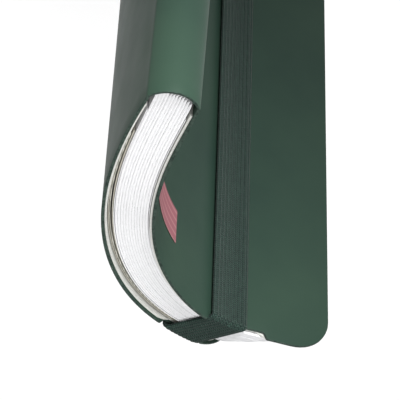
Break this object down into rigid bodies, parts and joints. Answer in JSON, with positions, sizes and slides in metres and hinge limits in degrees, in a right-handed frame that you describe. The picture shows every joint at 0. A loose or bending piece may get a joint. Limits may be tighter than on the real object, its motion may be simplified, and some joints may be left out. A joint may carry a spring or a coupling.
{
  "type": "pocket notebook",
  "caption": "Soft-cover pocket notebook with sewn sections, rounded spine, rounded fore-edge corners, back pocket and an elastic band closure, flexed and standing on its head edge.",
  "frame": {"origin": "on the standing surface, below the middle of the notebook's overall box", "axes": "+Z along the spine from the head edges, on which it stands, to the tail; +X and +Y across the flexed section, the spine towards +Y and the front cover towards +X"},
  "size_m": [0.046, 0.0784, 0.14],
  "materials": {
    "cover": "soft satin synthetic leather, fine grain",
    "board": "flexible grey-brown cover board",
    "endpaper": "pale uncoated endpaper",
    "pages": "ivory-white uncoated paper",
    "pocket": "beige pocket paper",
    "gusset": "thin woven gusset cloth",
    "elastic": "woven elastic, ribbed",
    "thread": "white sewing thread",
    "lining": "gauze lining",
    "label": "plain matt printed panel"
  },
  "bodies": {
    "back_cover": {"back_cover_skin": "cover", "back_cover_board": "board", "back_pastedown": "endpaper", "pocket_back_panel": "pocket", "pocket_front_panel": "pocket", "pocket_head_gusset": "gusset", "pocket_tail_gusset": "gusset", "elastic_head_end": "elastic", "elastic_tail_end": "elastic"},
    "spine": {"spine_skin": "cover", "spine_strip": "board", "spine_lining": "lining", "sewn_backs": "pages", "sewing_threads": "thread"},
    "front_cover": {"front_cover_skin": "cover", "front_cover_board": "board", "front_pastedown": "endpaper", "cover_label_panel": "label"},
    "elastic_loop": {"elastic_head_crossing": "elastic", "elastic_tail_crossing": "elastic"},
    "elastic_run": {"elastic_front_run": "elastic"},
    "leaves_01": {"signature_01": "pages", "back_flyleaf": "pages"},
    "leaves_02": {"signature_02": "pages"},
    "leaves_03": {"signature_03": "pages"},
    "leaves_04": {"signature_04": "pages"},
    "leaves_05": {"signature_05": "pages"},
    "leaves_06": {"signature_06": "pages"},
    "leaves_07": {"signature_07": "pages"},
    "leaves_08": {"signature_08": "pages"},
    "leaves_09": {"signature_09": "pages"},
    "leaves_10": {"signature_10": "pages"},
    "leaves_11": {"signature_11": "pages"},
    "leaves_12": {"signature_12": "pages", "front_flyleaf": "pages"}
  },
  "joints": [
    {"name": "spine_hinge", "type": "hinge", "parent": "back_cover", "child": "spine", "pos_m": [-0.00477, 0.03821, 0], "axis": [-0.0666, -0.0063, 0.9978], "range_deg": [0, 90]},
    {"name": "front_cover_hinge", "type": "hinge", "parent": "spine", "child": "front_cover", "pos_m": [0.0042, 0.03368, 0], "axis": [-0.0641, -0.0009, 0.9979], "range_deg": [0, 90]},
    {"name": "leaf_turn_01", "type": "hinge", "parent": "spine", "child": "leaves_01", "pos_m": [-0.00372, 0.03589, 0], "axis": [-0.0653, -0.0057, 0.9979], "range_deg": [-82.5, 0]},
    {"name": "leaf_turn_02", "type": "hinge", "parent": "spine", "child": "leaves_02", "pos_m": [-0.00319, 0.03562, 0], "axis": [-0.0651, -0.0053, 0.9979], "range_deg": [-67.5, 0]},
    {"name": "leaf_turn_03", "type": "hinge", "parent": "spine", "child": "leaves_03", "pos_m": [-0.00267, 0.03536, 0], "axis": [-0.065, -0.005, 0.9979], "range_deg": [-52.5, 0]},
    {"name": "leaf_turn_04", "type": "hinge", "parent": "spine", "child": "leaves_04", "pos_m": [-0.00215, 0.0351, 0], "axis": [-0.0648, -0.0047, 0.9979], "range_deg": [-37.5, 0]},
    {"name": "leaf_turn_05", "type": "hinge", "parent": "spine", "child": "leaves_05", "pos_m": [-0.00163, 0.03483, 0], "axis": [-0.0647, -0.0044, 0.9979], "range_deg": [-22.5, 0]},
    {"name": "leaf_turn_06", "type": "hinge", "parent": "spine", "child": "leaves_06", "pos_m": [-0.0011, 0.03457, 0], "axis": [-0.0645, -0.0041, 0.9979], "range_deg": [-7.5, 0]},
    {"name": "leaf_turn_07", "type": "hinge", "parent": "spine", "child": "leaves_07", "pos_m": [-0.00058, 0.0343, 0], "axis": [-0.0644, -0.0037, 0.9979], "range_deg": [0, 7.5]},
    {"name": "leaf_turn_08", "type": "hinge", "parent": "spine", "child": "leaves_08", "pos_m": [-0.00006, 0.03404, 0], "axis": [-0.0642, -0.0034, 0.9979], "range_deg": [0, 22.5]},
    {"name": "leaf_turn_09", "type": "hinge", "parent": "spine", "child": "leaves_09", "pos_m": [0.00046, 0.03378, 0], "axis": [-0.0641, -0.0031, 0.9979], "range_deg": [0, 37.5]},
    {"name": "leaf_turn_10", "type": "hinge", "parent": "spine", "child": "leaves_10", "pos_m": [0.00099, 0.03351, 0], "axis": [-0.064, -0.0028, 0.9979], "range_deg": [0, 52.5]},
    {"name": "leaf_turn_11", "type": "hinge", "parent": "spine", "child": "leaves_11", "pos_m": [0.00151, 0.03325, 0], "axis": [-0.0638, -0.0025, 0.998], "range_deg": [0, 67.5]},
    {"name": "leaf_turn_12", "type": "hinge", "parent": "spine", "child": "leaves_12", "pos_m": [0.00203, 0.03298, 0], "axis": [-0.0637, -0.0022, 0.998], "range_deg": [0, 82.5]},
    {"name": "elastic_swing", "type": "hinge", "parent": "back_cover", "child": "elastic_loop", "pos_m": [-0.00545, -0.03129, 0], "axis": [-0.0252, -0.005, 0.9997], "range_deg": [-180, 0], "deforming": ["elastic_head_crossing", "elastic_tail_crossing"]},
    {"name": "elastic_draw", "type": "slide", "parent": "elastic_loop", "child": "elastic_run", "axis": [0.9519, 0.3065, 0], "range_m": [-0.00922, 0], "deforming": ["elastic_front_run"]}
  ],
  "couplings": [
    {"joint": "front_cover_hinge", "follows": "spine_hinge", "ratio": 1},
    {"joint": "leaf_turn_01", "follows": "spine_hinge", "ratio": -0.91667},
    {"joint": "leaf_turn_02", "follows": "spine_hinge", "ratio": -0.75},
    {"joint": "leaf_turn_03", "follows": "spine_hinge", "ratio": -0.58333},
    {"joint": "leaf_turn_04", "follows": "spine_hinge", "ratio": -0.41667},
    {"joint": "leaf_turn_05", "follows": "spine_hinge", "ratio": -0.25},
    {"joint": "leaf_turn_06", "follows": "spine_hinge", "ratio": -0.083333},
    {"joint": "leaf_turn_07", "follows": "spine_hinge", "ratio": 0.083333},
    {"joint": "leaf_turn_08", "follows": "spine_hinge", "ratio": 0.25},
    {"joint": "leaf_turn_09", "follows": "spine_hinge", "ratio": 0.41667},
    {"joint": "leaf_turn_10", "follows": "spine_hinge", "ratio": 0.58333},
    {"joint": "leaf_turn_11", "follows": "spine_hinge", "ratio": 0.75},
    {"joint": "leaf_turn_12", "follows": "spine_hinge", "ratio": 0.91667},
    {"joint": "elastic_swing", "follows": "spine_hinge", "ratio": -2},
    {"joint": "elastic_draw", "follows": "spine_hinge", "m_per_rad": -0.0058703}
  ]
}
